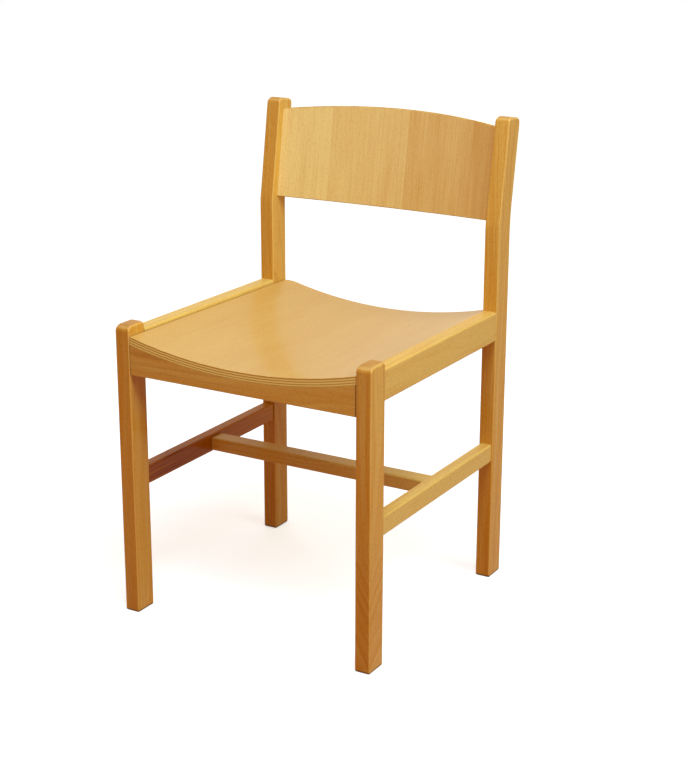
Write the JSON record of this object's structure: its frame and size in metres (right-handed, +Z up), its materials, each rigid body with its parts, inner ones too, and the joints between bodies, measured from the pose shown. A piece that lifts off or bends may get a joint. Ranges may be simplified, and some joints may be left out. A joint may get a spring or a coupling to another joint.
{
  "type": "choir chair",
  "caption": "Armless hall side chair in lacquered beech: square legs, dowelled rails, dished plywood seat between the rails and a curved, arched plywood back let into raked posts.",
  "frame": {"origin": "on the floor, in the middle of the chair's footprint box", "axes": "+Z up, the chair faces -Y, +X to the viewer's right when looking at its front"},
  "size_m": [0.44, 0.4744, 0.7531],
  "materials": {
    "beech": "clear satin to gloss lacquer on solid beech",
    "ply_seat": "gloss lacquer on beech veneer",
    "ply_back": "satin lacquer on beech veneer",
    "dowel_wood": "raw turned beech",
    "screw_steel": "zinc plated"
  },
  "bodies": {
    "root": {"front_leg_left": "beech", "front_leg_right": "beech", "rear_post_left": "beech", "rear_post_right": "beech", "side_rail_left": "beech", "side_rail_right": "beech", "front_rail": "beech", "rear_rail": "beech", "side_stretcher_left": "beech", "side_stretcher_right": "beech", "cross_stretcher": "beech", "corner_block_front_left": "beech", "corner_block_front_right": "beech", "corner_block_rear_left": "beech", "corner_block_rear_right": "beech", "seat_panel": "ply_seat", "back_panel": "ply_back", "front_rail_dowel_left_upper": "dowel_wood", "front_rail_dowel_left_lower": "dowel_wood", "front_rail_dowel_right_upper": "dowel_wood", "front_rail_dowel_right_lower": "dowel_wood", "rear_rail_dowel_left_upper": "dowel_wood", "rear_rail_dowel_left_lower": "dowel_wood", "rear_rail_dowel_right_upper": "dowel_wood", "rear_rail_dowel_right_lower": "dowel_wood", "side_rail_dowel_left_front_upper": "dowel_wood", "side_rail_dowel_left_front_lower": "dowel_wood", "side_rail_dowel_left_rear_upper": "dowel_wood", "side_rail_dowel_left_rear_lower": "dowel_wood", "side_rail_dowel_right_front_upper": "dowel_wood", "side_rail_dowel_right_front_lower": "dowel_wood", "side_rail_dowel_right_rear_upper": "dowel_wood", "side_rail_dowel_right_rear_lower": "dowel_wood", "side_stretcher_dowel_left_front_upper": "dowel_wood", "side_stretcher_dowel_left_front_lower": "dowel_wood", "side_stretcher_dowel_left_rear_upper": "dowel_wood", "side_stretcher_dowel_left_rear_lower": "dowel_wood", "side_stretcher_dowel_right_front_upper": "dowel_wood", "side_stretcher_dowel_right_front_lower": "dowel_wood", "side_stretcher_dowel_right_rear_upper": "dowel_wood", "side_stretcher_dowel_right_rear_lower": "dowel_wood", "cross_stretcher_dowel_left_front": "dowel_wood", "cross_stretcher_dowel_left_rear": "dowel_wood", "cross_stretcher_dowel_right_front": "dowel_wood", "cross_stretcher_dowel_right_rear": "dowel_wood", "seat_screw_front_left": "screw_steel", "seat_screw_front_right": "screw_steel", "seat_screw_rear_left": "screw_steel", "seat_screw_rear_right": "screw_steel"}
  },
  "joints": []
}
